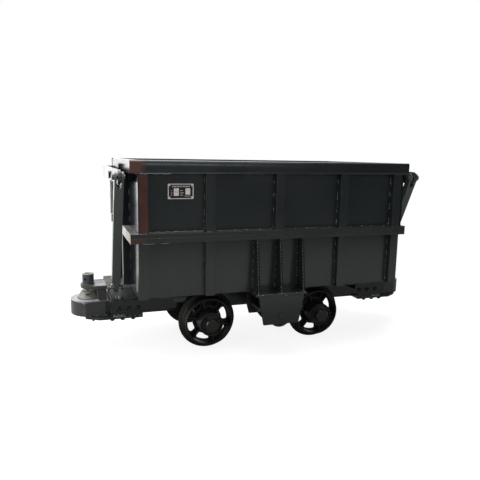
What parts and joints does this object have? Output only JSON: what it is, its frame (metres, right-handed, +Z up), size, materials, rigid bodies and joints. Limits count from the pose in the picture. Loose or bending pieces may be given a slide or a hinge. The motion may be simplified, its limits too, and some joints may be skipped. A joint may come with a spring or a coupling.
{
  "type": "side dump ore cart",
  "caption": "Narrow-gauge side dump ore cart: a tipping steel box with a linked lifting side door, a ramp roller, flanged wheels and end coupling heads.",
  "frame": {"origin": "midway between the wheelsets and between the rails, level with the lowest point of the wheel flanges", "axes": "+X along the track, +Y across it towards the lifting door, +Z up"},
  "size_m": [2.676, 1.254, 1.33],
  "materials": {
    "enamel": "gloss",
    "cast_steel": "gloss"
  },
  "bodies": {
    "frame": {"sills": "enamel", "girders": "enamel", "cross_beams": "enamel", "end_deck_left": "enamel", "end_deck_right": "enamel", "rest_beams": "enamel", "hinge_brackets": "enamel", "axle_boxes": "cast_steel", "head_left": "cast_steel", "head_right": "cast_steel", "head_straps": "enamel", "strap_packers": "enamel", "link_lugs_left": "enamel", "link_lugs_right": "enamel"},
    "box": {"belt_left": "enamel", "belt_near": "enamel", "belt_right": "enamel", "corner_posts": "enamel", "door_pivots_left": "enamel", "door_pivots_right": "enamel", "end_ribs_left": "enamel", "end_ribs_right": "enamel", "end_wall_left": "enamel", "end_wall_right": "enamel", "floor": "enamel", "floor_bearers": "enamel", "hinge_lugs": "enamel", "near_wall": "enamel", "roller_bracket": "enamel", "roller_gussets": "enamel", "roller_pin": "enamel", "side_ribs": "enamel", "top_band_left": "enamel", "top_band_near": "enamel", "top_band_right": "enamel"},
    "door": {"door_panel": "enamel", "door_ribs": "enamel", "door_belt": "enamel", "door_band": "enamel", "door_arm_left": "enamel", "door_arm_right": "enamel"},
    "roller_body": {"roller": "cast_steel"},
    "link_left_body": {"link_left": "enamel"},
    "link_right_body": {"link_right": "enamel"},
    "wheelset_left": {"axle_left": "cast_steel", "wheels_left": "cast_steel", "hub_caps_left": "cast_steel"},
    "wheelset_right": {"axle_right": "cast_steel", "wheels_right": "cast_steel", "hub_caps_right": "cast_steel"}
  },
  "joints": [
    {"name": "box_tip", "type": "hinge", "parent": "frame", "child": "box", "pos_m": [0, 0.4, 0.425], "axis": [-1, 0, 0], "range_deg": [0, 40]},
    {"name": "door_lift", "type": "hinge", "parent": "box", "child": "door", "pos_m": [0, -0.05, 1.222], "axis": [1, 0, 0], "range_deg": [0, 46.44]},
    {"name": "link_swing_left", "type": "hinge", "parent": "frame", "child": "link_left_body", "pos_m": [-1.042, -0.19, 0.455], "axis": [-1, 0, 0], "range_deg": [0, 42.36]},
    {"name": "link_swing_right", "type": "hinge", "parent": "frame", "child": "link_right_body", "pos_m": [1.042, -0.19, 0.455], "axis": [-1, 0, 0], "range_deg": [0, 42.36]},
    {"name": "roller_spin", "type": "hinge", "parent": "box", "child": "roller_body", "pos_m": [0, -0.565, 0.306], "axis": [0, 1, 0], "continuous": true},
    {"name": "wheelset_left_spin", "type": "hinge", "parent": "frame", "child": "wheelset_left", "pos_m": [-0.419, 0, 0.206], "axis": [0, 1, 0], "continuous": true},
    {"name": "wheelset_right_spin", "type": "hinge", "parent": "frame", "child": "wheelset_right", "pos_m": [0.419, 0, 0.206], "axis": [0, 1, 0], "continuous": true}
  ],
  "couplings": [
    {"joint": "door_lift", "follows": "box_tip", "ratio": 1.161},
    {"joint": "link_swing_left", "follows": "box_tip", "ratio": 1.059},
    {"joint": "link_swing_right", "follows": "box_tip", "ratio": 1.059}
  ]
}
